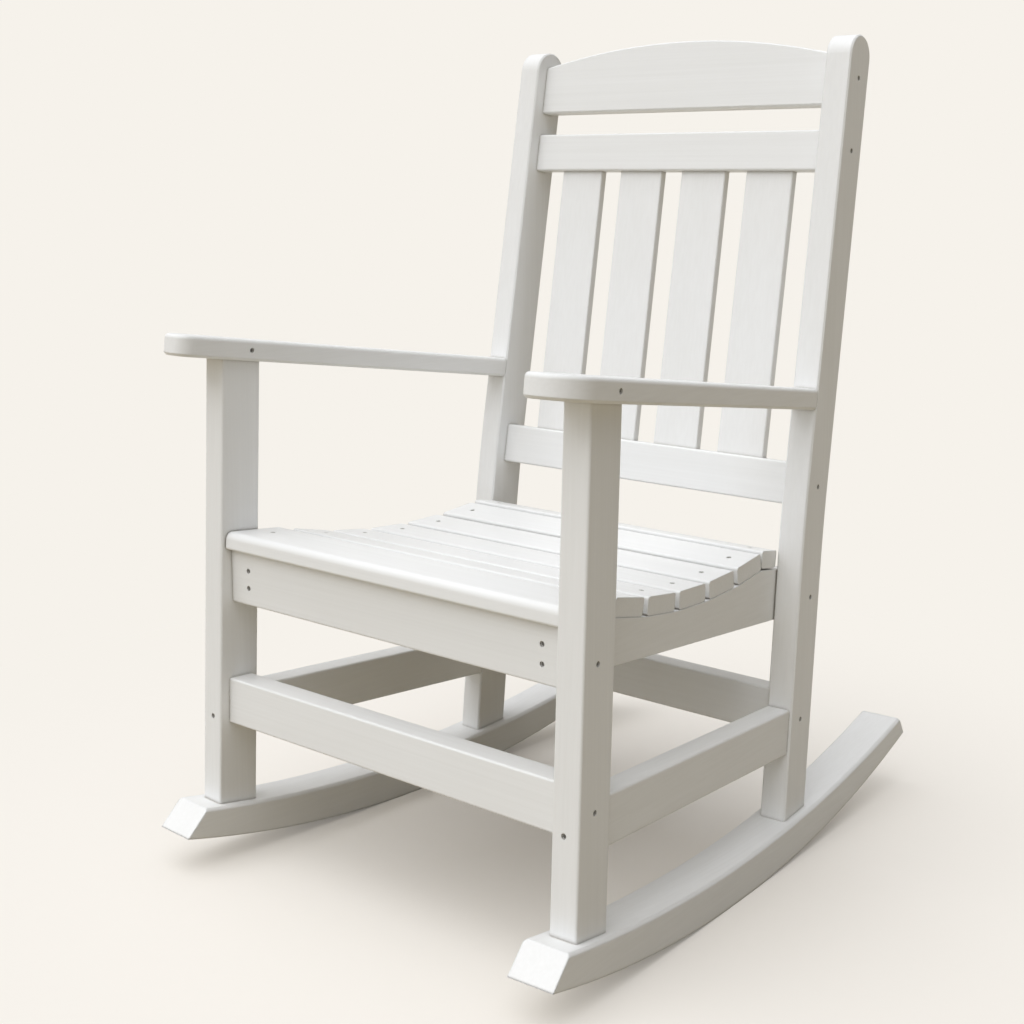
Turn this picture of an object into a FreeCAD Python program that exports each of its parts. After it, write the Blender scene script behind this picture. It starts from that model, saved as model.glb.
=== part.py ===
import FreeCAD, Part
import Sketcher
import math
import os

# Slatted porch rocker in white plastic lumber, in millimetres, +Z up.
# It faces -Y. The origin is on the floor, under the middle of the chair.
# Each side frame (leg, post, rocker, stretcher, seat rail) is flat and toed in
# towards the back, so it has a frame of its own: X = 0 is the outer face of
# leg and post, Y runs back along the floor from the front of the leg's foot.

doc = FreeCAD.newDocument("PorchRocker")
sheet = doc.addObject("Spreadsheet::Sheet", "Sizes")
V = FreeCAD.Vector

DRIVING = [
    # Side frame
    ("frame_half_width", 330.0),
    ("toe_in", 3.32),
    ("timber", 38.0),
    ("leg_depth", 62.0),
    ("post_depth", 60.0),
    ("board", 24.0),
    ("joint_gap", 0.05),
    ("timber_round", 3.0),
    ("post_bevel", 2.2),
    # Rocker
    ("rocker_width", 63.5),
    ("rocker_radius", 1690.0),
    ("rocker_low_point", 355.0),
    ("rocker_front", -62.0),
    ("rocker_back", 871.0),
    ("rocker_top_radius", 2200.0),
    ("rocker_top_low_point", 360.0),
    ("rocker_thickness", 51.0),
    ("rocker_nose_slant", 33.0),
    ("rocker_tail_slant", 17.0),
    ("rocker_bevel", 3.5),
    # Front leg
    ("leg_lean", 2.18),
    ("leg_tenon", 20.0),
    # Back post
    ("post_foot", 502.0),
    ("post_lean", 5.15),
    ("post_upper_lean", 9.1),
    ("post_bend_height", 462.6),
    ("post_bend_radius", 2300.0),
    ("post_top", 1129.0),
    # Arm
    ("arm_height", 728.0),
    ("arm_thickness", 28.6),
    ("arm_pitch", 7.75),
    ("arm_front", -46.0),
    ("arm_outer_overhang", 24.3),
    ("arm_inner_overhang", 10.7),
    ("arm_outer_corner", 46.0),
    ("arm_inner_corner", 20.0),
    ("arm_round", 5.5),
    ("arm_bevel", 3.5),
    # Seat
    ("seat_scoop_radius", 900.0),
    ("seat_low_point", 350.0),
    ("seat_height", 421.5),
    ("slat_width", 63.0),
    ("slat_pitch", 72.9),
    ("first_slat_middle", 163.0),
    ("slat_end_gap", 1.5),
    ("slat_round", 3.5),
    ("front_slat_edge", 19.0),
    ("front_slat_width", 92.0),
    ("front_slat_height", 461.0),
    ("front_slat_pitch", 5.0),
    ("front_slat_nose", 10.0),
    ("rear_slat_front", 493.0),
    ("rear_slat_width", 40.0),
    ("rear_slat_height", 433.5),
    ("rear_slat_pitch", 9.0),
    ("rear_slat_clearance", 2.5),
    # Seat rails and apron
    ("seat_rail_low", 376.5),
    ("seat_rail_pitch", 4.97),
    ("seat_rail_end", 566.0),
    ("apron_front", 28.0),
    ("apron_low", 362.0),
    ("rear_rail_front", 500.0),
    ("rear_rail_height", 62.0),
    # Stretchers
    ("front_stretcher_face", 17.0),
    ("front_stretcher_low", 193.0),
    ("stretcher_height", 63.0),
    ("rear_stretcher_low", 168.0),
    ("rear_stretcher_setback", 10.0),
    ("side_stretcher_low", 175.3),
    ("side_stretcher_pitch", 3.03),
    ("side_stretcher_recess", 4.0),
    # Back
    ("back_rail_setback", 17.0),
    ("lower_rail_low", 487.0),
    ("lower_rail_height", 59.0),
    ("upper_rail_low", 945.5),
    ("upper_rail_height", 56.5),
    ("crest_low", 1035.0),
    ("crest_end_height", 71.0),
    ("crest_rise", 30.0),
    ("rail_round", 3.0),
    ("crest_bevel", 2.0),
    ("back_slat_width", 76.0),
    ("back_slat_pitch", 112.0),
    ("back_slat_thickness", 12.5),
    ("back_slat_setback", 8.0),
    ("back_slat_bevel", 1.2),
    ("mortise_depth", 10.0),
    ("mortise_gap", 0.1),
    # Screws
    ("screw_head", 6.6),
    ("screw_head_thickness", 2.4),
    ("screw_shank", 4.0),
    ("screw_length", 64.0),
    ("long_screw_length", 90.0),
    ("slat_screw_length", 50.0),
    ("counterbore", 7.0),
    ("counterbore_depth", 4.5),
    ("screw_gap", 0.05),
    ("slat_screw_inset", 33.0),
    ("front_slat_screw_setback", 7.0),
    ("apron_screw_inset", 34.0),
    ("apron_screw_length", 33.0),
    ("apron_screw_spacing", 24.0),
    ("rear_stretcher_screw_rise", 24.0),
    ("outer_arm_screw_back", 50.0),
    ("outer_arm_screw_length", 36.0),
    ("inner_arm_screw_back", 66.0),
    ("inner_arm_screw_length", 25.0),
    ("leg_screw_height", 202.0),
]
BACK_SLATS = 4
SEAT_SLATS = 5

NUMBER = {}
for row, (alias, number) in enumerate(DRIVING, start=1):
    sheet.set("A%d" % row, alias.replace("_", " "))
    sheet.set("B%d" % row, repr(number))
    sheet.setAlias("B%d" % row, alias)
    NUMBER[alias] = number
doc.recompute()


class Size:
    """A number together with the sheet expression that gives it."""

    def __init__(self, value, text):
        self.value = value
        self.text = text

    def __add__(self, other):
        other = as_size(other)
        return Size(self.value + other.value, "(%s + %s)" % (self.text, other.text))

    def __radd__(self, other):
        return as_size(other) + self

    def __sub__(self, other):
        other = as_size(other)
        return Size(self.value - other.value, "(%s - %s)" % (self.text, other.text))

    def __rsub__(self, other):
        return as_size(other) - self

    def __mul__(self, other):
        other = as_size(other)
        return Size(self.value * other.value, "(%s * %s)" % (self.text, other.text))

    def __rmul__(self, other):
        return as_size(other) * self

    def __truediv__(self, other):
        other = as_size(other)
        return Size(self.value / other.value, "(%s / %s)" % (self.text, other.text))

    def __neg__(self):
        return Size(-self.value, "(0 - %s)" % self.text)


def as_size(value):
    if isinstance(value, Size):
        return value
    return Size(float(value), "(%.6f)" % value)


def size(alias):
    return Size(NUMBER[alias], "Sizes.%s" % alias)


def sine(angle):
    return Size(math.sin(math.radians(angle.value)), "sin(%s)" % angle.text)


def cosine(angle):
    return Size(math.cos(math.radians(angle.value)), "cos(%s)" % angle.text)


def tangent(angle):
    return Size(math.tan(math.radians(angle.value)), "tan(%s)" % angle.text)


def root(number):
    return Size(math.sqrt(number.value), "sqrt(%s)" % number.text)


# Degrees in one radian
DEGREES = Size(math.degrees(1), "(180 / pi)")


class Spot:
    """A point of an outline: two sizes across and up its sketch plane."""

    def __init__(self, across, up):
        self.across = as_size(across)
        self.up = as_size(up)

    def moved(self, along, distance):
        return Spot(self.across + along.across * distance, self.up + along.up * distance)

    def vector(self):
        return V(self.across.value, self.up.value, 0)


class Line:
    """A straight line in a sketch plane, leaning back from upright by an angle."""

    def __init__(self, spot, lean):
        self.spot = spot
        self.slope = tangent(lean)

    def at_height(self, height):
        return Spot(self.spot.across + (height - self.spot.up) * self.slope, height)


def bind(owner, prop, number):
    owner.setExpression(prop, as_size(number).text)


def place(item, across, back, up, *turns):
    """Binds a piece's place and its turns, such as ("z", angle), the last one first."""
    numbers = "; ".join(as_size(number).text for number in (across, back, up))
    rotation = " * ".join("rotation%s(%s)" % (axis, as_size(angle).text) for axis, angle in turns)
    item.setExpression("Placement", "placement(vector(%s); %s)" % (numbers, rotation or "rotationz(0)"))


def new_body(name):
    body = doc.addObject("PartDesign::Body", name)
    body.Label = name
    return body


def new_sketch(body, role, name):
    sketch = body.newObject("Sketcher::SketchObject", name)
    plane = [f for f in body.Origin.OriginFeatures if f.Role == role][0]
    sketch.AttachmentSupport = [(plane, "")]
    sketch.MapMode = "FlatFace"
    return sketch


def draw_outline(sketch, spots, arcs=None):
    """Draws a closed outline through fixed corners.

    arcs maps a corner's index to the radius of the arc from it to the next
    corner: positive where the outline turns left along that arc.
    """
    arcs = arcs or {}
    count = len(spots)
    for i, spot in enumerate(spots):
        start = spot.vector()
        end = spots[(i + 1) % count].vector()
        if i in arcs:
            radius = abs(arcs[i].value)
            half = (end - start) * 0.5
            left = V(-half.y, half.x, 0).normalize()
            reach = math.sqrt(max(radius ** 2 - half.Length ** 2, 0.0))
            side = 1 if arcs[i].value > 0 else -1
            centre = start + half + left * (reach * side)
            middle = centre - left * (radius * side)
            sketch.addGeometry(Part.Arc(start, middle, end), False)
        else:
            sketch.addGeometry(Part.LineSegment(start, end), False)
    # An arc always runs anticlockwise, so a right-hand arc has its ends swapped.
    def ends(i):
        return (2, 1) if i in arcs and arcs[i].value < 0 else (1, 2)
    for i in range(count):
        following = (i + 1) % count
        sketch.addConstraint(Sketcher.Constraint("Coincident", i, ends(i)[1], following, ends(following)[0]))
    for i, spot in enumerate(spots):
        first = ends(i)[0]
        for kind, number in (("DistanceX", spot.across), ("DistanceY", spot.up)):
            index = sketch.addConstraint(Sketcher.Constraint(kind, -1, 1, i, first, number.value))
            bind(sketch, "Constraints[%d]" % index, number)
        if i in arcs:
            radius = arcs[i] if arcs[i].value > 0 else -arcs[i]
            index = sketch.addConstraint(Sketcher.Constraint("Radius", i, radius.value))
            bind(sketch, "Constraints[%d]" % index, radius)


def pad(body, role, spots, length, arcs=None, reverse=False, middle=False):
    sketch = new_sketch(body, role, body.Name + "_outline")
    draw_outline(sketch, spots, arcs)
    feature = body.newObject("PartDesign::Pad", body.Name + "_pad")
    feature.Profile = sketch
    feature.Reversed = reverse
    feature.Midplane = middle
    bind(feature, "Length", length)
    sketch.Visibility = False
    doc.recompute()
    return feature


def pocket(body, role, spots, length, name, arcs=None, reverse=False, middle=False):
    before = body.Shape.Volume
    sketch = new_sketch(body, role, "%s_%s_outline" % (body.Name, name))
    draw_outline(sketch, spots, arcs)
    feature = body.newObject("PartDesign::Pocket", "%s_%s" % (body.Name, name))
    feature.Profile = sketch
    feature.Reversed = reverse
    feature.Midplane = middle
    bind(feature, "Length", length)
    sketch.Visibility = False
    doc.recompute()
    if body.Shape.Volume > before - 1.0:
        raise ValueError("%s cuts nothing from %s" % (name, body.Name))
    return feature


def ease_edges(body, kind, prop, amount, wanted, name):
    base = body.Tip
    picked = ["Edge%d" % (i + 1) for i, edge in enumerate(base.Shape.Edges) if wanted(edge)]
    if not picked:
        raise ValueError("no edge to ease on " + body.Name)
    feature = body.newObject("PartDesign::" + kind, "%s_%s" % (body.Name, name))
    feature.Base = (base, picked)
    bind(feature, prop, amount)
    doc.recompute()
    return feature


def round_edges(body, radius, wanted, name="round"):
    """Rounds the edges of the body's last feature that wanted(edge) picks."""
    return ease_edges(body, "Fillet", "Radius", radius, wanted, name)


def bevel_edges(body, width, wanted, name="bevel"):
    """Breaks those edges with a bevel, which keeps the long curved ones light."""
    return ease_edges(body, "Chamfer", "Size", width, wanted, name)


def runs_along(edge, axis, share=0.97):
    if not hasattr(edge.Curve, "Direction"):
        return False
    return abs(edge.Curve.Direction.dot(axis)) > share


X = V(1, 0, 0)
Y = V(0, 1, 0)
Z = V(0, 0, 1)

# The side frame's own lines, shared by every piece that meets it
timber = size("timber")
leg_depth = size("leg_depth")
depth = size("post_depth")
toe = size("toe_in")
gap = size("joint_gap")
half_width = size("frame_half_width")
middle_back = (size("rocker_front") + size("rocker_back")) / 2
frame_back = -middle_back
leg_lean = size("leg_lean")


def rocker_top(back):
    """Height of the rocker's top edge at a distance behind the leg's foot."""
    radius = size("rocker_top_radius")
    away = back - size("rocker_top_low_point")
    return size("rocker_thickness") + radius - root(radius * radius - away * away)


def rocker_bottom(back):
    radius = size("rocker_radius")
    away = back - size("rocker_low_point")
    return radius - root(radius * radius - away * away)


LEG_FRONT = Line(Spot(0, rocker_top(as_size(0))), leg_lean)
LEG_BACK = Line(Spot(leg_depth, rocker_top(leg_depth)), leg_lean)
low_lean = size("post_lean")
high_lean = size("post_upper_lean")
post_foot = size("post_foot")
bend_height = size("post_bend_height")
POST_LOW = Line(Spot(post_foot, rocker_top(post_foot)), low_lean)
POST_HIGH = Line(POST_LOW.at_height(bend_height), high_lean)


def back_plane(setback, height):
    """A spot behind the post's upper front face by a setback, at a height."""
    spot = POST_HIGH.at_height(height)
    return Spot(spot.across + setback / cosine(high_lean), height)


ALONG_BACK = Spot(sine(high_lean), cosine(high_lean))
BEHIND_BACK = Spot(cosine(high_lean), -sine(high_lean))


def set_frame_place(item, side, across=0, back=0, up=0, *turns):
    """Puts a piece made in the side frame's own axes where the frame stands.

    across is counted outwards from the outer face, back and up from the foot.
    """
    across = as_size(across)
    back = as_size(back)
    outward = half_width + across * cosine(toe) - back * sine(toe)
    behind = frame_back + across * sine(toe) + back * cosine(toe)
    place(item, outward * side, behind, up, ("z", toe * side), *turns)


def make_rocker(side, name):
    front = size("rocker_front")
    back = size("rocker_back")
    nose = front + size("rocker_nose_slant")
    tail = back - size("rocker_tail_slant")
    body = new_body(name)
    spots = [
        Spot(front, rocker_bottom(front)),
        Spot(back, rocker_bottom(back)),
        Spot(tail, rocker_top(tail)),
        Spot(nose, rocker_top(nose)),
    ]
    arcs = {0: size("rocker_radius"), 2: -size("rocker_top_radius")}
    pad(body, "YZ_Plane", spots, size("rocker_width"), arcs, middle=True)
    half_length = (tail - nose).value / 2
    thickness = size("rocker_thickness").value

    def along_top(edge):
        if edge.BoundBox.XLength > 0.1 or edge.Length < half_length:
            return False
        return edge.CenterOfMass.z > thickness
    bevel_edges(body, size("rocker_bevel"), along_top)
    # The rocker is wider than the frame by the same margin on both sides.
    set_frame_place(body, side, -timber / 2)
    return body


def make_leg(side, name, spare=0):
    """A leg with its end let into the arm; with a spare, the mortise that takes it."""
    spare = as_size(spare)
    cover = size("arm_thickness") - size("leg_tenon") - spare
    top = size("arm_height") - cover / cosine(size("arm_pitch"))
    slope = tangent(size("arm_pitch"))

    def corners(line, shift):
        # The line's foot, and its end under the arm's sloping top
        foot = line.spot
        height = (top - slope * (foot.across - foot.up * line.slope)) / (1 + slope * line.slope)
        return [Spot(spot.across + shift, spot.up) for spot in (foot, line.at_height(height))]
    body = new_body(name)
    front = corners(LEG_FRONT, -spare)
    back = corners(LEG_BACK, spare)
    pad(body, "YZ_Plane", [front[0], back[0], back[1], front[1]], timber + spare * 2, reverse=side > 0)
    round_edges(body, size("timber_round"), lambda e: runs_along(e, Z))
    set_frame_place(body, side, spare)
    return body


def make_post(side, name):
    foot_back = post_foot + depth / cosine(low_lean)
    bend = POST_LOW.at_height(bend_height)
    half_turn = (high_lean - low_lean) / 2
    reach = size("post_bend_radius") * tangent(half_turn)
    low_along = Spot(sine(low_lean), cosine(low_lean))
    low_behind = Spot(cosine(low_lean), -sine(low_lean))
    bend_start = bend.moved(low_along, -reach)
    bend_end = bend.moved(ALONG_BACK, reach)
    half_depth = depth / 2
    crown_height = size("post_top") - half_depth
    crown_front = POST_HIGH.at_height(crown_height + half_depth * sine(high_lean))
    crown = crown_front.moved(BEHIND_BACK, half_depth)
    spots = [
        Spot(post_foot, rocker_top(post_foot)),
        Spot(foot_back, rocker_top(foot_back)),
        bend_start.moved(low_behind, depth),
        bend_end.moved(BEHIND_BACK, depth),
        crown.moved(BEHIND_BACK, half_depth),
        crown.moved(ALONG_BACK, half_depth),
        crown_front,
        bend_end,
        bend_start,
    ]
    bend_radius = size("post_bend_radius")
    arcs = {2: -(bend_radius - depth), 4: half_depth, 5: half_depth, 7: bend_radius}
    body = new_body(name)
    pad(body, "YZ_Plane", spots, timber, arcs, reverse=side > 0)
    foot = spots[1].up.value + size("post_bevel").value

    def on_side_faces(edge):
        return edge.BoundBox.XLength < 0.1 and edge.CenterOfMass.z > foot
    bevel_edges(body, size("post_bevel"), on_side_faces)
    set_frame_place(body, side)
    return body


def make_side_stretcher(side, name):
    low = size("side_stretcher_low")
    slope = tangent(size("side_stretcher_pitch"))
    tall = size("stretcher_height") / cosine(size("side_stretcher_pitch"))

    def meet(line, start, inset):
        # Where a line falling to the back from a height meets an upright's face
        height = (start - slope * (line.spot.across - line.spot.up * line.slope)) / (1 + slope * line.slope)
        spot = line.at_height(height)
        return Spot(spot.across + inset, spot.up)

    body = new_body(name)
    spots = [
        meet(LEG_BACK, low, gap),
        meet(POST_LOW, low, -gap),
        meet(POST_LOW, low + tall, -gap),
        meet(LEG_BACK, low + tall, gap),
    ]
    thickness = timber - size("side_stretcher_recess")
    pad(body, "YZ_Plane", spots, thickness, reverse=side > 0)
    round_edges(body, size("timber_round"), lambda e: runs_along(e, Y))
    set_frame_place(body, side, -size("side_stretcher_recess"))
    return body


# Seat boards, each set by the middle of its top, its slope and its width
board = size("board")


class SeatBoard:
    """One seat board in side view, from its top's middle, fall to the back and width."""

    def __init__(self, back, height, fall, width):
        self.fall = fall
        self.along = Spot(cosine(fall), -sine(fall))
        self.down = Spot(-sine(fall), -cosine(fall))
        self.middle = Spot(back, height)
        self.width = width

    def corner(self, end, level):
        return self.middle.moved(self.along, self.width / 2 * end).moved(self.down, level)


def scoop_board(number):
    """A middle board, tangent to the seat's scoop."""
    radius = size("seat_scoop_radius")
    along = size("first_slat_middle") - size("seat_low_point") + size("slat_pitch") * number
    fall = -(along / radius * DEGREES)
    back = size("seat_low_point") - radius * sine(fall)
    height = size("seat_height") + radius - radius * cosine(fall)
    return SeatBoard(back, height, fall, size("slat_width"))


def edge_board(front, height, fall, width):
    """A board set by its top front edge."""
    back = front + width / 2 * cosine(fall)
    return SeatBoard(back, height - width / 2 * sine(fall), fall, width)


FRONT_BOARD = edge_board(size("front_slat_edge"), size("front_slat_height"),
                         size("front_slat_pitch"), size("front_slat_width"))
REAR_BOARD = edge_board(size("rear_slat_front"), size("rear_slat_height"),
                        size("rear_slat_pitch"), size("rear_slat_width"))
MIDDLE_BOARDS = [scoop_board(number) for number in range(SEAT_SLATS)]


def wedge(name, inset):
    """The space between the side frames, less an inset at each side."""
    front = size("rocker_front")
    back = size("rocker_back")
    inner = half_width - timber / cosine(toe) - inset

    def half_space(distance):
        return inner - tangent(toe) * distance
    body = new_body(name)
    spots = [
        Spot(-half_space(front), frame_back + front),
        Spot(half_space(front), frame_back + front),
        Spot(half_space(back), frame_back + back),
        Spot(-half_space(back), frame_back + back),
    ]
    crown = size("crest_low") + size("crest_end_height") + size("crest_rise")
    pad(body, "XY_Plane", spots, crown + board)
    return body


def cut_to_space(name, space, bar):
    """Keeps the part of a long bar that lies in a space."""
    piece = doc.addObject("Part::Common", name + "_cut")
    piece.Base = bar
    piece.Tool = space
    doc.recompute()
    return piece


def cross_bar(name, spots, arcs=None):
    """A long bar across the chair with the given side view."""
    bar = new_body(name + "_bar")
    length = half_width * 2
    pad(bar, "YZ_Plane", spots, length, arcs, middle=True)
    place(bar, 0, frame_back, 0)
    return bar


JOINT_SPACE = wedge("joint_space", gap)
SLAT_SPACE = wedge("slat_space", size("slat_end_gap"))
RAIL_SPACE = wedge("rail_space", (timber + gap) / cosine(toe) + gap)


def make_seat_slat(name, seat_board, nose=None):
    spots = [seat_board.corner(-1, board), seat_board.corner(1, board),
             seat_board.corner(1, 0), seat_board.corner(-1, 0)]
    bar = cross_bar(name, spots)
    front_top = seat_board.corner(-1, 0)

    def from_nose(edge):
        middle = edge.CenterOfMass
        return math.hypot(middle.y - front_top.across.value, middle.z - front_top.up.value)
    spared = -1.0
    if nose is not None:
        round_edges(bar, nose, lambda e: runs_along(e, X) and from_nose(e) < nose.value, "nose")
        spared = nose.value * 1.2
    round_edges(bar, size("slat_round"), lambda e: runs_along(e, X) and from_nose(e) > spared)
    return cut_to_space(name, SLAT_SPACE, bar)


def scooped_profile():
    """The side view of the seat side rails: every board lies on a flat of its own."""
    start = size("apron_front") + board + gap
    end = size("seat_rail_end")
    slope = tangent(size("seat_rail_pitch"))

    def low_edge(back):
        return Spot(back, size("seat_rail_low") - slope * back)
    top = []
    front_end = FRONT_BOARD.corner(1, board)
    front_slope = tangent(size("front_slat_pitch"))
    top.append(Spot(start, front_end.up + (front_end.across - start) * front_slope))
    top.append(front_end)
    for seat_board in MIDDLE_BOARDS:
        top.append(seat_board.corner(-1, board))
        top.append(seat_board.corner(1, board))
    # The rear board stands clear of these rails and lies on the rear seat rail.
    rear_front = REAR_BOARD.corner(-1, board + size("rear_slat_clearance"))
    top.append(rear_front)
    rear_slope = tangent(size("rear_slat_pitch"))
    top.append(Spot(end, rear_front.up - (end - rear_front.across) * rear_slope))
    return [low_edge(start), low_edge(end)] + top[::-1]


def make_seat_side_rail(side, name, profile):
    """The scooped profile, cut to a plank against the inner faces of leg and post."""
    end = size("rocker_back")
    height = size("arm_height")
    plank = new_body(name + "_plank")
    spots = [Spot(0, 0), Spot(end, 0), Spot(end, height), Spot(0, height)]
    pad(plank, "YZ_Plane", spots, timber, reverse=side > 0)
    set_frame_place(plank, side, -(timber + gap))
    return cut_to_space(name, plank, profile)


def under_board(seat_board, back):
    """The spot on a seat board's underside at a distance back, less the joint's gap."""
    under = seat_board.corner(-1, board)
    return Spot(back, under.up - (back - under.across) * tangent(seat_board.fall) - gap)


APRON_BACK = size("apron_front") + board
APRON_SPOTS = [Spot(size("apron_front"), size("apron_low")), Spot(APRON_BACK, size("apron_low")),
               under_board(FRONT_BOARD, APRON_BACK), under_board(FRONT_BOARD, size("apron_front"))]


def make_apron(name):
    bar = cross_bar(name, APRON_SPOTS)
    middle = (APRON_SPOTS[0].up + APRON_SPOTS[2].up).value / 2
    round_edges(bar, size("rail_round"), lambda e: runs_along(e, X) and e.CenterOfMass.z < middle)
    return cut_to_space(name, JOINT_SPACE, bar)


def make_rear_seat_rail(name):
    front = size("rear_rail_front")
    back = front + board
    top = under_board(REAR_BOARD, front)
    low = top.up - size("rear_rail_height")
    bar = cross_bar(name, [Spot(front, low), Spot(back, low), under_board(REAR_BOARD, back), top])
    return cut_to_space(name, RAIL_SPACE, bar)


def make_stretcher(name, face, low, lean):
    up = Spot(sine(lean), cosine(lean))
    behind = Spot(cosine(lean), -sine(lean))
    corner = Spot(face, low)
    top = corner.moved(up, size("stretcher_height"))
    spots = [corner, corner.moved(behind, timber), top.moved(behind, timber), top]
    bar = cross_bar(name, spots)
    round_edges(bar, size("timber_round"), lambda e: runs_along(e, X))
    return cut_to_space(name, JOINT_SPACE, bar)


def back_rail_spots(low, height):
    setback = size("back_rail_setback")
    corner = back_plane(setback, low)
    top = corner.moved(ALONG_BACK, height)
    return [corner, corner.moved(BEHIND_BACK, board), top.moved(BEHIND_BACK, board), top]


def make_back_rail(name, low, height):
    bar = cross_bar(name, back_rail_spots(low, height))
    round_edges(bar, size("rail_round"), lambda e: runs_along(e, X))
    return cut_to_space(name, JOINT_SPACE, bar)


def lean_back_place(item, low, setback, rise=0):
    """Stands a piece drawn in its front view on the leaning back plane."""
    corner = back_plane(setback, low).moved(ALONG_BACK, rise)
    place(item, 0, corner.across + frame_back, corner.up, ("x", -high_lean))


def make_crest_rail(name):
    half = half_width
    end = size("crest_end_height")
    rise = size("crest_rise")
    span = half_width - timber - tangent(toe) * back_plane(as_size(0), size("crest_low")).across
    radius = (span * span + rise * rise) / (rise * 2)
    edge = radius - root(radius * radius - half * half)
    bar = new_body(name + "_bar")
    top = end + rise
    spots = [Spot(-half, 0), Spot(half, 0), Spot(half, top - edge), Spot(-half, top - edge)]
    pad(bar, "XZ_Plane", spots, board, {2: radius}, reverse=True)

    def front_view_edge(edge):
        return edge.BoundBox.YLength < 0.1 and edge.Length > half.value
    bevel_edges(bar, size("crest_bevel"), front_view_edge)
    lean_back_place(bar, size("crest_low"), size("back_rail_setback"))
    return cut_to_space(name, JOINT_SPACE, bar)


def slat_centre(number):
    return size("back_slat_pitch") * (number - (BACK_SLATS - 1) / 2.0)


def slat_span():
    """Length along the back between the rails' facing edges."""
    low = size("lower_rail_height")
    return (size("upper_rail_low") - size("lower_rail_low")) / cosine(high_lean) - low


def make_back_slat(number, name, grow=None):
    """A thin slat let into both rails; with a growth, the mortises that take it."""
    spare = as_size(0) if grow is None else grow
    width = size("back_slat_width") / 2 + spare
    deep = size("mortise_depth")
    length = slat_span() + deep * 2 - size("mortise_gap") * 2 + spare * 4
    centre = slat_centre(number)
    body = new_body(name)
    spots = [Spot(centre - width, 0), Spot(centre + width, 0),
             Spot(centre + width, length), Spot(centre - width, length)]
    thickness = size("back_slat_thickness") + spare * 2
    pad(body, "XZ_Plane", spots, thickness, reverse=True)
    if grow is None:
        bevel_edges(body, size("back_slat_bevel"), lambda e: runs_along(e, Z))
    rise = size("lower_rail_height") - deep + size("mortise_gap") - spare * 2
    setback = size("back_rail_setback") + size("back_slat_setback") - spare
    lean_back_place(body, size("lower_rail_low"), setback, rise)
    return body


def make_arm(side, name):
    """The flat arm: drawn in plan, tapered to the post and pitched back."""
    pitch = size("arm_pitch")
    front = size("arm_front") / cosine(pitch)
    post = POST_HIGH.spot
    slope = tangent(pitch)
    reach = post.across + (size("arm_height") - post.up) * POST_HIGH.slope
    far = reach / (1 + slope * POST_HIGH.slope) / cosine(pitch)
    thick = size("arm_thickness")
    outer = size("arm_outer_overhang") * side
    inner = -(timber + size("arm_inner_overhang")) * side
    long = far + thick
    ratio = (long - front) / (far - front)

    def tapered(start, finish):
        return start + (finish - start) * ratio
    body = new_body(name)
    spots = [Spot(outer, front), Spot(tapered(outer, as_size(0)), long),
             Spot(tapered(inner, -timber * side), long), Spot(inner, front)]
    pad(body, "XY_Plane", spots, thick, reverse=True)

    def corner_at(target):
        return lambda e: (runs_along(e, Z) and abs(e.CenterOfMass.y - front.value) < 1
                          and abs(e.CenterOfMass.x - target) < 1)
    round_edges(body, size("arm_outer_corner"), corner_at(outer.value), "outer_corner")
    round_edges(body, size("arm_inner_corner"), corner_at(inner.value), "inner_corner")

    def rim(level):
        return lambda e: (e.BoundBox.ZLength < 0.1 and abs(e.CenterOfMass.z - level.value) < 1
                          and e.CenterOfMass.y < long.value - 1)
    round_edges(body, size("arm_round"), rim(as_size(0)))
    bevel_edges(body, size("arm_bevel"), rim(-thick))
    # The back end is cut to the post's front face.
    away = far - gap
    end_slope = tangent(high_lean - pitch)
    end_top = Spot(away + end_slope * thick, thick)
    end_low = Spot(away - end_slope * thick * 2, -thick * 2)
    beyond = long + thick
    pocket(body, "YZ_Plane", [end_low, Spot(beyond, -thick * 2), Spot(beyond, thick), end_top],
           half_width, "post_end", middle=True)
    set_frame_place(body, side, 0, 0, size("arm_height"), ("x", -pitch))
    return body


# Screws: a head at the bottom of a counterbore, and a shank into the next piece.
# They are small and many, so their round forms are prisms with few sides.
HEAD_SIDES = 12
SHANK_SIDES = 6


def make_prism(name, sides, radius, height):
    item = doc.addObject("Part::Prism", name)
    item.Polygon = sides
    bind(item, "Circumradius", radius)
    bind(item, "Height", height)
    return item


SCREWS = {}
DRILLS = {}


def add_screw(group, hosts, put, length=None):
    """Adds a screw to a group and its hole to each of the pieces it passes.

    put(item, depth) places a prism that points into the wood, its base at
    that depth under the surface.
    """
    length = size("screw_length") if length is None else length
    count = len(SCREWS.setdefault(group, [])) + 1
    name = "%s_%d" % (group, count)
    deep = size("counterbore_depth")
    head_height = size("screw_head_thickness")
    head = make_prism(name + "_head", HEAD_SIDES, size("screw_head") / 2, head_height)
    shank = make_prism(name + "_shank", SHANK_SIDES, size("screw_shank") / 2, length)
    put(head, deep - head_height)
    put(shank, deep - head_height / 2)
    screw = doc.addObject("Part::Fuse", name)
    screw.Base = head
    screw.Tool = shank
    SCREWS[group].append(screw)
    above = deep
    recess = make_prism(name + "_recess", HEAD_SIDES, size("counterbore") / 2, above + deep)
    pilot = make_prism(name + "_pilot", SHANK_SIDES, size("screw_shank") / 2 + size("screw_gap"), length)
    put(recess, -above)
    put(pilot, deep - head_height / 2 + size("screw_gap"))
    drill = doc.addObject("Part::Fuse", name + "_drill")
    drill.Base = recess
    drill.Tool = pilot
    for host in hosts:
        DRILLS.setdefault(host, []).append(drill)


def inward(side, back, up):
    """Points a screw from the side frame's outer face towards the middle."""
    def put(item, depth):
        set_frame_place(item, side, -as_size(depth), back, up, ("y", as_size(-90 * side)))
    return put


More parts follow.
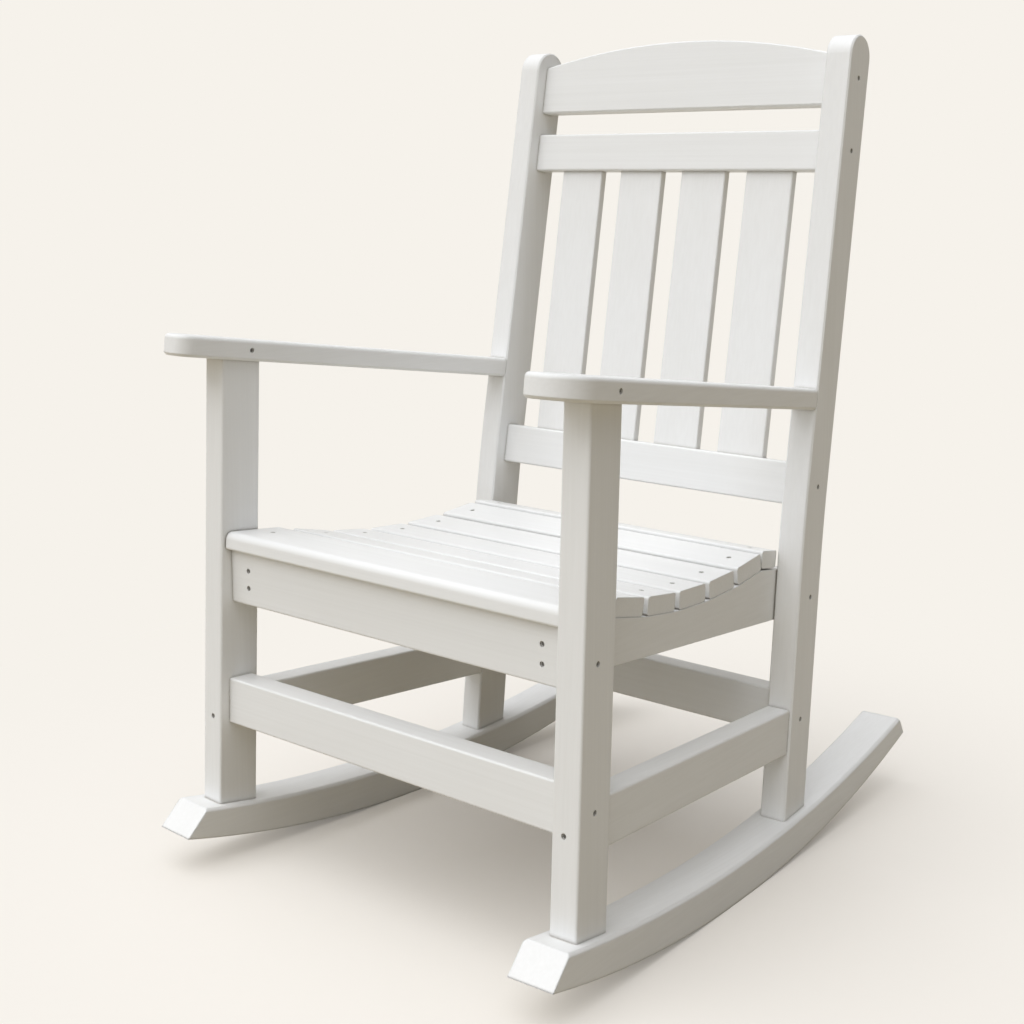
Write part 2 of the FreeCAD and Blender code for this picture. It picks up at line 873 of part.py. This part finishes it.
def through_upright(side, across, spot, lean, way):
    """Points a screw into an upright's front face (way 1) or its back face (way -1)."""
    def put(item, depth):
        start = spot.moved(Spot(cosine(lean), -sine(lean)), as_size(depth) * way)
        turn = lean + 90 if way > 0 else lean - 90
        set_frame_place(item, side, across, start.across, start.up, ("x", -turn))
    return put


def rail_across(side, back, inset):
    """Where a seat side rail's screws stand, by their inset from the leg's inner face."""
    return (half_width - tangent(toe) * back - (timber + inset) / cosine(toe)) * side


def into_apron(side, up):
    """Points a screw into the apron's front face, towards a seat side rail's end."""
    front = size("apron_front")

    def put(item, depth):
        across = rail_across(side, front, size("apron_screw_inset"))
        place(item, across, frame_back + front + depth, up, ("x", as_size(-90)))
    return put


ARM_REACH = POST_HIGH.at_height(size("arm_height")).across


def arm_middle(back):
    """Height of the middle of the arm's thickness at a distance back."""
    return size("arm_height") - size("arm_thickness") / 2 - tangent(size("arm_pitch")) * back


def into_arm_edge(side, back, outer):
    """Points a screw level into the arm's outer or inner edge, towards the leg's end."""
    share = (back - size("arm_front")) / (ARM_REACH - size("arm_front"))
    overhang = size("arm_outer_overhang") if outer else size("arm_inner_overhang")
    reach = overhang * (1 - share)
    up = arm_middle(back)
    way = 1 if outer else -1

    def put(item, depth):
        edge = reach if outer else -timber - reach
        set_frame_place(item, side, edge - as_size(depth) * way, back, up, ("y", as_size(-90 * side * way)))
    return put


def down_through(side, seat_board, setback):
    """Points a screw down into a seat side rail, a setback behind a board's middle."""
    entry = seat_board.middle.moved(seat_board.along, setback)

    def put(item, depth):
        start = entry.moved(seat_board.down, depth)
        across = rail_across(side, entry.across, size("slat_screw_inset"))
        place(item, across, frame_back + start.across, start.up, ("x", 180 - seat_board.fall))
    return put


def drilled(name, piece):
    """The piece with its screw holes, or the piece itself where it has none."""
    if name not in DRILLS:
        return piece
    drills = DRILLS[name]
    tool = drills[0]
    if len(drills) > 1:
        tool = doc.addObject("Part::MultiFuse", name + "_drills")
        tool.Shapes = drills
    cut = doc.addObject("Part::Cut", name + "_drilled")
    cut.Base = piece
    cut.Tool = tool
    return cut


def mid_spot(spots):
    across = (spots[0].across + spots[2].across) / 2
    up = (spots[0].up + spots[2].up) / 2
    return Spot(across, up)


def mortised(name, piece, mortise):
    cut = doc.addObject("Part::Cut", name + "_mortised")
    cut.Base = piece
    cut.Tool = mortise
    return cut


# The pieces, by name
PIECES = {}
SIDES = (("left", -1), ("right", 1))
rail_profile = cross_bar("seat_side_rail", scooped_profile())
for word, side in SIDES:
    PIECES["rocker_" + word] = make_rocker(side, "rocker_" + word)
    PIECES["front_leg_" + word] = make_leg(side, "front_leg_" + word)
    PIECES["back_post_" + word] = make_post(side, "back_post_" + word)
    PIECES["side_stretcher_" + word] = make_side_stretcher(side, "side_stretcher_" + word)
    PIECES["seat_side_rail_" + word] = make_seat_side_rail(side, "seat_side_rail_" + word, rail_profile)
    leg_mortise = make_leg(side, "leg_mortise_" + word, size("mortise_gap"))
    PIECES["arm_" + word] = mortised("arm_" + word, make_arm(side, "arm_" + word), leg_mortise)
PIECES["front_apron"] = make_apron("front_apron")
PIECES["rear_seat_rail"] = make_rear_seat_rail("rear_seat_rail")
PIECES["front_stretcher"] = make_stretcher(
    "front_stretcher", size("front_stretcher_face"), size("front_stretcher_low"), leg_lean)
rear_face = POST_LOW.at_height(size("rear_stretcher_low")).across + size("rear_stretcher_setback")
PIECES["rear_stretcher"] = make_stretcher(
    "rear_stretcher", rear_face, size("rear_stretcher_low"), low_lean)
SEAT_BOARDS = {"seat_slat_front": FRONT_BOARD}
for number, seat_board in enumerate(MIDDLE_BOARDS, start=1):
    SEAT_BOARDS["seat_slat_%d" % number] = seat_board
SEAT_BOARDS["seat_slat_rear"] = REAR_BOARD
for name, seat_board in SEAT_BOARDS.items():
    nose = size("front_slat_nose") if seat_board is FRONT_BOARD else None
    PIECES[name] = make_seat_slat(name, seat_board, nose)
PIECES["crest_rail"] = make_crest_rail("crest_rail")
upper = make_back_rail("upper_back_rail", size("upper_rail_low"), size("upper_rail_height"))
lower = make_back_rail("lower_back_rail", size("lower_rail_low"), size("lower_rail_height"))
mortises = doc.addObject("Part::MultiFuse", "mortises")
mortises.Shapes = [
    make_back_slat(number, "mortise_%d" % (number + 1), size("mortise_gap"))
    for number in range(BACK_SLATS)]
for name, rail in (("upper_back_rail", upper), ("lower_back_rail", lower)):
    PIECES[name] = mortised(name, rail, mortises)
for number in range(BACK_SLATS):
    name = "back_slat_%d" % (number + 1)
    PIECES[name] = make_back_slat(number, name)
doc.recompute()

# Screws seen from the side: through leg and post into the pieces between them
crest_middle = back_plane(size("back_rail_setback") + board / 2, size("crest_low")).moved(
    ALONG_BACK, size("crest_end_height") / 2)
upper_middle = mid_spot(back_rail_spots(size("upper_rail_low"), size("upper_rail_height")))
lower_middle = mid_spot(back_rail_spots(size("lower_rail_low"), size("lower_rail_height")))
stretcher_half = size("stretcher_height") / 2
apron_middle = (APRON_SPOTS[0].up + APRON_SPOTS[2].up) / 2
post_middle = POST_LOW.at_height(apron_middle).across + depth / 2
rail_low = size("seat_rail_low") - tangent(size("seat_rail_pitch")) * post_middle
rail_middle = (rail_low + under_board(REAR_BOARD, post_middle).up - size("rear_slat_clearance")) / 2
# The side stretchers' middle line, between the faces of leg and post
stretcher_inside = -(timber + size("side_stretcher_recess")) / 2
leg_entry = LEG_FRONT.at_height(size("leg_screw_height"))
arm_end = back_plane(depth, arm_middle(ARM_REACH))
post_entry = POST_LOW.at_height(size("side_stretcher_low")).moved(
    Spot(cosine(low_lean), -sine(low_lean)), depth)
for word, side in SIDES:
    leg = "front_leg_" + word
    post = "back_post_" + word
    side_rail = "seat_side_rail_" + word
    for rail, spot in (("crest_rail", crest_middle), ("upper_back_rail", upper_middle),
                       ("lower_back_rail", lower_middle)):
        add_screw("back_rail_screws", [post, rail], inward(side, spot.across / cosine(toe), spot.up))
    low = size("rear_stretcher_low") + size("rear_stretcher_screw_rise")
    add_screw("stretcher_screws", [post, "rear_stretcher"],
              inward(side, (rear_face + timber / 2) / cosine(toe), low))
    low = size("front_stretcher_low") + stretcher_half
    add_screw("stretcher_screws", [leg, "front_stretcher"],
              inward(side, (size("front_stretcher_face") + timber / 2) / cosine(toe), low))
    add_screw("seat_frame_screws", [leg, "front_apron"],
              inward(side, (size("apron_front") + board / 2) / cosine(toe), apron_middle))
    add_screw("seat_frame_screws", [post, side_rail], inward(side, post_middle, rail_middle))
    for half in (-0.5, 0.5):
        up = apron_middle + size("apron_screw_spacing") * half
        add_screw("apron_screws", ["front_apron", side_rail], into_apron(side, up),
                  size("apron_screw_length"))
    stretcher = "side_stretcher_" + word
    add_screw("side_stretcher_screws", [leg, stretcher],
              through_upright(side, stretcher_inside, leg_entry, leg_lean, 1), size("long_screw_length"))
    add_screw("side_stretcher_screws", [post, stretcher],
              through_upright(side, stretcher_inside, post_entry, low_lean, -1), size("long_screw_length"))
    for slat, seat_board in SEAT_BOARDS.items():
        setback = size("front_slat_screw_setback") if seat_board is FRONT_BOARD else as_size(0)
        add_screw("seat_slat_screws", [slat, side_rail], down_through(side, seat_board, setback),
                  size("slat_screw_length"))
    arm = "arm_" + word
    add_screw("arm_screws", [arm, leg], into_arm_edge(side, size("outer_arm_screw_back"), True),
              size("outer_arm_screw_length"))
    add_screw("arm_screws", [arm, leg], into_arm_edge(side, size("inner_arm_screw_back"), False),
              size("inner_arm_screw_length"))
    add_screw("arm_screws", [post, arm], through_upright(side, -timber / 2, arm_end, high_lean, -1),
              size("long_screw_length"))

NODES = {}
for name, piece in PIECES.items():
    NODES[name] = drilled(name, piece)
for group, screws in SCREWS.items():
    NODES[group] = doc.addObject("Part::Compound", group + "_set")
    NODES[group].Links = screws
for name, piece in NODES.items():
    if piece.Label != name:
        for other in doc.findObjects(Label="^%s$" % name):
            other.Label = name + "_base"
        piece.Label = name
doc.recompute()

for item in doc.Objects:
    if "Invalid" in item.State or "Error" in item.State:
        raise ValueError("%s did not compute: %s" % (item.Name, item.State))
for name, piece in NODES.items():
    if piece.Shape.isNull() or not piece.Shape.isValid() or not piece.Shape.Solids:
        raise ValueError("%s has no valid shape" % name)

os.makedirs("parts", exist_ok=True)
for name, piece in NODES.items():
    piece.Shape.exportStep("parts/%s.step" % name)
    box = piece.Shape.BoundBox
    print("%-20s solids %2d  %7.1f..%7.1f %7.1f..%7.1f %7.1f..%7.1f" % (
        name, len(piece.Shape.Solids), box.XMin, box.XMax, box.YMin, box.YMax, box.ZMin, box.ZMax))
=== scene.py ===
import bpy
import math
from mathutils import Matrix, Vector

# A porch rocker in white plastic lumber, on a plain pale studio floor. Every shape comes from the
# CAD frame; this script adds the materials, the floor, the light and the camera. Lengths in metres.
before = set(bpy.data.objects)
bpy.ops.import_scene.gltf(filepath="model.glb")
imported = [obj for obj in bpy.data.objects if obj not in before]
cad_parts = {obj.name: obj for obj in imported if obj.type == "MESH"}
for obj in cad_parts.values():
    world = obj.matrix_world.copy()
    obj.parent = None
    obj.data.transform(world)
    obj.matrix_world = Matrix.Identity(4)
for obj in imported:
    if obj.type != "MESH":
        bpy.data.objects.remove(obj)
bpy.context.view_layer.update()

# Camera: turned round the chair from its front, a little above the arms
CAMERA_TURN = math.radians(40.5)
CAMERA_DIP = math.radians(8.193)
CAMERA_PLACE = (1.3666, -1.7293, 0.9432)
LENS_MM = 55.73
SENSOR_MM = 36.0
SHIFT_UP = -0.109375
VIEW_REACH = 100.0

WHITE = (1.0, 1.0, 1.0, 1.0)
BLACK = (0.0, 0.0, 0.0, 1.0)

# Noise scales: slow along a board and fast across it, so that the noise makes streaks
GRAIN_SLOW = 3.0
GRAIN_FAST = 260.0
GRAIN_ALONG = {
    "x": (GRAIN_SLOW, GRAIN_FAST, GRAIN_FAST),
    "y": (GRAIN_FAST, GRAIN_SLOW, GRAIN_FAST),
    "z": (GRAIN_FAST, GRAIN_FAST, GRAIN_SLOW),
}
BAND_TO_STREAK = 0.12
PATCH_SCALE = (6.0, 6.0, 6.0)
STEEL_SCALE = (900.0, 900.0, 900.0)
PAPER_SCALE = (40.0, 40.0, 40.0)
NOISE_ROUGHNESS = 0.55
FINE_DETAIL = 3.0
BROAD_DETAIL = 2.0

# Plastic lumber: colours, the noise values between which each change runs, and the relief
LUMBER_LIGHT = (0.845, 0.848, 0.845, 1.0)
LUMBER_DARK = (0.825, 0.827, 0.822, 1.0)
LUMBER_JOINT_SHADE = (0.37, 0.35, 0.31, 1.0)
BAND_TINT = (0.982, 0.982, 0.979, 1.0)
PATCH_TINT = (0.985, 0.983, 0.978, 1.0)
STREAK_SPAN = (0.36, 0.66)
BAND_SPAN = (0.30, 0.70)
PATCH_SPAN = (0.25, 0.75)
SHEEN_SPAN = (0.3, 0.7)
LUMBER_ROUGHNESS = (0.50, 0.38)
LUMBER_SPECULAR = 0.42
BUMP_STRENGTH = 0.10
BUMP_HEIGHT = 0.0004

# Painted shade darkens the lumber where pieces meet: its reach, its openness values and how much it
# covers
JOINT_SHADE_REACH = 0.007
JOINT_SHADE_SPAN = (0.35, 0.80)
JOINT_SHADE_COVER = 0.85
JOINT_SHADE_SAMPLES = 6

# Radius that the light shows on an edge; the rockers' is softer
EASED_EDGE = 0.0016
ROCKER_EASED_EDGE = 0.0042
EDGE_SAMPLES = 4

# Screws: those in the seat are paler
STEEL = (0.20, 0.195, 0.18, 1.0)
STEEL_DARK = (0.09, 0.085, 0.078, 1.0)
SEAT_STEEL = (0.84, 0.84, 0.83, 1.0)
SEAT_STEEL_DARK = (0.70, 0.70, 0.69, 1.0)
# Painted highlight: the pale colour given to the rim of each screw head, standing for light
# catching its edge
STEEL_RIM_HIGHLIGHT = (0.86, 0.86, 0.85, 1.0)
STEEL_SPAN = (0.35, 0.65)
STEEL_ROUGHNESS = (0.45, 0.6)
STEEL_METALLIC = 0.3
RIM_WIDTH = 0.0020
RIM_SPAN = (0.90, 0.985)
RIM_SAMPLES = 6

# Floor: a disc that the backdrop's colour takes over further from the chair
FLOOR_RADIUS = 14.0
FLOOR_SIDES = 96
FLOOR_SEEN = (0.86, 0.815, 0.755, 1.0)
FLOOR_BOUNCE = (0.385, 0.325, 0.215, 1.0)
FLOOR_GRAIN = 0.995
FADE_FROM = 0.0
FADE_TO = 1.3
BACKDROP = (0.922, 0.888, 0.831, 1.0)

# Sky: broad, brightest above the chair's front left and dim at its back right
SKY_BRIGHT = (1.07, 1.088, 1.12, 1.0)
SKY_DIM = (0.030, 0.022, 0.010, 1.0)
SKY_TOWARDS = (-0.22, -0.46, 0.86)
SKY_SPAN = (0.05, 0.85)

# Key lamp: wide, from above the front
KEY_STRENGTH = 1.39
KEY_COLOUR = (0.985, 0.99, 1.0)
KEY_WIDTH = math.radians(70)
KEY_HEADING = (0.08, 0.42, -0.90)


def grey(value):
    return (value, value, value, 1.0)


def new_material(name):
    material = bpy.data.materials.new(name)
    material.use_nodes = True
    material.node_tree.nodes.clear()
    return material, material.node_tree


def node(tree, kind, **settings):
    made = tree.nodes.new(kind)
    for key, value in settings.items():
        setattr(made, key, value)
    return made


def link(tree, source, target):
    tree.links.new(source, target)


def show(tree, kind, shader):
    """Ends a material's or the world's tree with its output node."""
    link(tree, shader, node(tree, kind).inputs["Surface"])


def object_place(tree):
    return node(tree, "ShaderNodeTexCoord").outputs["Object"]


def ramp(tree, source, span, low, high):
    """A colour that runs from low to high while the source runs through the span."""
    made = node(tree, "ShaderNodeValToRGB")
    for element, position, colour in zip(made.color_ramp.elements, span, (low, high)):
        element.position = position
        element.color = colour
    link(tree, source, made.inputs["Fac"])
    return made.outputs["Color"]


def stretched_noise(tree, place, stretch, detail):
    mapping = node(tree, "ShaderNodeMapping")
    mapping.inputs["Scale"].default_value = stretch
    link(tree, place, mapping.inputs["Vector"])
    noise = node(tree, "ShaderNodeTexNoise")
    noise.inputs["Scale"].default_value = 1.0
    noise.inputs["Detail"].default_value = detail
    noise.inputs["Roughness"].default_value = NOISE_ROUGHNESS
    link(tree, mapping.outputs["Vector"], noise.inputs["Vector"])
    return noise.outputs["Fac"]


def mix(tree, amount, first, second, blend="MIX"):
    """Mixes two colours; each value is a number, a colour or another node's output."""
    made = node(tree, "ShaderNodeMix", data_type="RGBA", blend_type=blend)
    # A colour mix has its amount at input 0 and its colours at inputs 6 and 7
    for value, place in ((amount, 0), (first, 6), (second, 7)):
        if isinstance(value, (float, tuple)):
            made.inputs[place].default_value = value
        else:
            link(tree, value, made.inputs[place])
    return made.outputs[2]


def blend_shaders(tree, amount, first, second):
    made = node(tree, "ShaderNodeMixShader")
    for place, source in enumerate((amount, first, second)):
        link(tree, source, made.inputs[place])
    return made.outputs["Shader"]


def seen_directly(tree):
    """1 for what the camera or a reflection sees, 0 for the light that pieces get."""
    rays = node(tree, "ShaderNodeLightPath")
    visible = node(tree, "ShaderNodeMath", operation="MAXIMUM")
    link(tree, rays.outputs["Is Camera Ray"], visible.inputs[0])
    link(tree, rays.outputs["Is Glossy Ray"], visible.inputs[1])
    return visible.outputs["Value"]


def eased_normal(tree, radius, samples):
    """The surface's direction, turned near an edge as if the edge were round."""
    eased = node(tree, "ShaderNodeBevel", samples=samples)
    eased.inputs["Radius"].default_value = radius
    return eased.outputs["Normal"]


def plastic_lumber(name, along, edge):
    """White poly lumber: faint streaks along the board, soft edges and painted shade in the joints.
    """
    material, tree = new_material(name)
    place = object_place(tree)
    stretch = GRAIN_ALONG[along]
    broad_stretch = tuple(BAND_TO_STREAK * part for part in stretch)
    fine = stretched_noise(tree, place, stretch, FINE_DETAIL)
    broad = stretched_noise(tree, place, broad_stretch, BROAD_DETAIL)
    patch = stretched_noise(tree, place, PATCH_SCALE, BROAD_DETAIL)
    colour = ramp(tree, fine, STREAK_SPAN, LUMBER_DARK, LUMBER_LIGHT)
    bands = ramp(tree, broad, BAND_SPAN, BAND_TINT, WHITE)
    colour = mix(tree, 1.0, colour, bands, "MULTIPLY")
    cloud = ramp(tree, patch, PATCH_SPAN, PATCH_TINT, WHITE)
    colour = mix(tree, 1.0, colour, cloud, "MULTIPLY")
    openness = node(tree, "ShaderNodeAmbientOcclusion", samples=JOINT_SHADE_SAMPLES, only_local=False)
    openness.inputs["Distance"].default_value = JOINT_SHADE_REACH
    joint_shade = ramp(tree, openness.outputs["AO"], JOINT_SHADE_SPAN, grey(JOINT_SHADE_COVER), BLACK)
    # Painted shade: the colour darkens in the joints and nooks, where the pieces shade each other
    colour = mix(tree, joint_shade, colour, LUMBER_JOINT_SHADE)
    bump = node(tree, "ShaderNodeBump")
    bump.inputs["Strength"].default_value = BUMP_STRENGTH
    bump.inputs["Distance"].default_value = BUMP_HEIGHT
    link(tree, fine, bump.inputs["Height"])
    link(tree, eased_normal(tree, edge, EDGE_SAMPLES), bump.inputs["Normal"])
    shader = node(tree, "ShaderNodeBsdfPrincipled")
    roughness = ramp(tree, fine, SHEEN_SPAN, *map(grey, LUMBER_ROUGHNESS))
    shader.inputs["Specular IOR Level"].default_value = LUMBER_SPECULAR
    link(tree, colour, shader.inputs["Base Color"])
    link(tree, roughness, shader.inputs["Roughness"])
    link(tree, bump.outputs["Normal"], shader.inputs["Normal"])
    show(tree, "ShaderNodeOutputMaterial", shader.outputs["BSDF"])
    return material


def screw_steel(name, dark, pale):
    """Dull screw heads with a painted highlight round the rim."""
    material, tree = new_material(name)
    fine = stretched_noise(tree, object_place(tree), STEEL_SCALE, FINE_DETAIL)
    flatness = node(tree, "ShaderNodeVectorMath", operation="DOT_PRODUCT")
    link(tree, eased_normal(tree, RIM_WIDTH, RIM_SAMPLES), flatness.inputs[0])
    link(tree, node(tree, "ShaderNodeNewGeometry").outputs["True Normal"], flatness.inputs[1])
    rim_highlight = ramp(tree, flatness.outputs["Value"], RIM_SPAN, WHITE, BLACK)
    # Painted highlight: where the eased normal turns away from the true one, at the head's rim, the
    # colour goes pale
    colour = mix(tree, rim_highlight, ramp(tree, fine, STEEL_SPAN, dark, pale), STEEL_RIM_HIGHLIGHT)
    shader = node(tree, "ShaderNodeBsdfPrincipled")
    roughness = ramp(tree, fine, SHEEN_SPAN, *map(grey, STEEL_ROUGHNESS))
    shader.inputs["Metallic"].default_value = STEEL_METALLIC
    link(tree, colour, shader.inputs["Base Color"])
    link(tree, roughness, shader.inputs["Roughness"])
    show(tree, "ShaderNodeOutputMaterial", shader.outputs["BSDF"])
    return material


def dress(name, material):
    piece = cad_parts[name]
    if not piece.material_slots:
        piece.data.materials.append(material)
    for slot in piece.material_slots:
        slot.material = material


def grain_of(name):
    """The way a board runs: front to back, upright, or else across the chair."""
    if name.startswith(("arm_", "side_stretcher_", "seat_side_rail_")):
        return "y"
    if name.startswith(("front_leg_", "back_post_", "back_slat_")):
        return "z"
    return "x"


def dress_all():
    lumber = {along: plastic_lumber("lumber_" + along, along, EASED_EDGE) for along in GRAIN_ALONG}
    rocker_lumber = plastic_lumber("rocker_lumber", "y", ROCKER_EASED_EDGE)
    steel = screw_steel("screw_steel", STEEL_DARK, STEEL)
    seat_steel = screw_steel("seat_screw_steel", SEAT_STEEL_DARK, SEAT_STEEL)
    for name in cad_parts:
        if name == "seat_slat_screws":
            dress(name, seat_steel)
        elif name.endswith("_screws"):
            dress(name, steel)
        elif name.startswith("rocker_"):
            dress(name, rocker_lumber)
        else:
            dress(name, lumber[grain_of(name)])


def make_floor():
    """A wide pale floor that fades into the backdrop away from the chair."""
    bpy.ops.mesh.primitive_circle_add(
        vertices=FLOOR_SIDES, radius=FLOOR_RADIUS, fill_type="NGON", location=(0, 0, 0))
    floor = bpy.context.object
    floor.name = "floor"
    material, tree = new_material("floor_paper")
    place = object_place(tree)
    paper = stretched_noise(tree, place, PAPER_SCALE, FINE_DETAIL)
    darker = tuple(FLOOR_GRAIN * part for part in FLOOR_SEEN)
    seen = ramp(tree, paper, SHEEN_SPAN, darker, FLOOR_SEEN)
    visible = seen_directly(tree)
    diffuse = node(tree, "ShaderNodeBsdfDiffuse")
    link(tree, mix(tree, visible, FLOOR_BOUNCE, seen), diffuse.inputs["Color"])
    glow = node(tree, "ShaderNodeEmission")
    glow.inputs["Color"].default_value = BACKDROP
    away = node(tree, "ShaderNodeVectorMath", operation="LENGTH")
    link(tree, place, away.inputs[0])
    fade = node(tree, "ShaderNodeMapRange", interpolation_type="SMOOTHSTEP")
    fade.inputs["From Min"].default_value = FADE_FROM
    fade.inputs["From Max"].default_value = FADE_TO
    link(tree, away.outputs["Value"], fade.inputs["Value"])
    amount = node(tree, "ShaderNodeMath", operation="MULTIPLY")
    link(tree, fade.outputs["Result"], amount.inputs[0])
    link(tree, visible, amount.inputs[1])
    surface = blend_shaders(
        tree, amount.outputs["Value"], diffuse.outputs["BSDF"], glow.outputs["Emission"])
    show(tree, "ShaderNodeOutputMaterial", surface)
    floor.data.materials.append(material)


def make_world():
    """Lights the chair with a graded sky, while the camera sees a plain pale backdrop."""
    world = bpy.data.worlds.new("studio")
    bpy.context.scene.world = world
    world.use_nodes = True
    tree = world.node_tree
    tree.nodes.clear()
    heading = node(tree, "ShaderNodeVectorMath", operation="DOT_PRODUCT")
    heading.inputs[1].default_value = SKY_TOWARDS
    link(tree, node(tree, "ShaderNodeTexCoord").outputs["Generated"], heading.inputs[0])
    sky = node(tree, "ShaderNodeBackground")
    graded = ramp(tree, heading.outputs["Value"], SKY_SPAN, SKY_DIM, SKY_BRIGHT)
    link(tree, graded, sky.inputs["Color"])
    paper = node(tree, "ShaderNodeBackground")
    paper.inputs["Color"].default_value = BACKDROP
    backdrop = blend_shaders(
        tree, seen_directly(tree), sky.outputs["Background"], paper.outputs["Background"])
    show(tree, "ShaderNodeOutputWorld", backdrop)


def make_key_light():
    data = bpy.data.lights.new("key", "SUN")
    data.energy = KEY_STRENGTH
    data.color = KEY_COLOUR
    data.angle = KEY_WIDTH
    lamp = bpy.data.objects.new("key", data)
    bpy.context.collection.objects.link(lamp)
    lamp.rotation_euler = Vector(KEY_HEADING).to_track_quat("-Z", "Y").to_euler()


def make_camera():
    data = bpy.data.cameras.new("camera")
    data.lens = LENS_MM
    data.sensor_width = SENSOR_MM
    data.shift_y = SHIFT_UP
    data.clip_end = VIEW_REACH
    camera = bpy.data.objects.new("camera", data)
    bpy.context.collection.objects.link(camera)
    camera.location = CAMERA_PLACE
    camera.rotation_euler = (math.radians(90) - CAMERA_DIP, 0.0, CAMERA_TURN)
    bpy.context.scene.camera = camera


dress_all()
make_floor()
make_world()
make_key_light()
make_camera()
bpy.context.scene.view_settings.view_transform = "Standard"
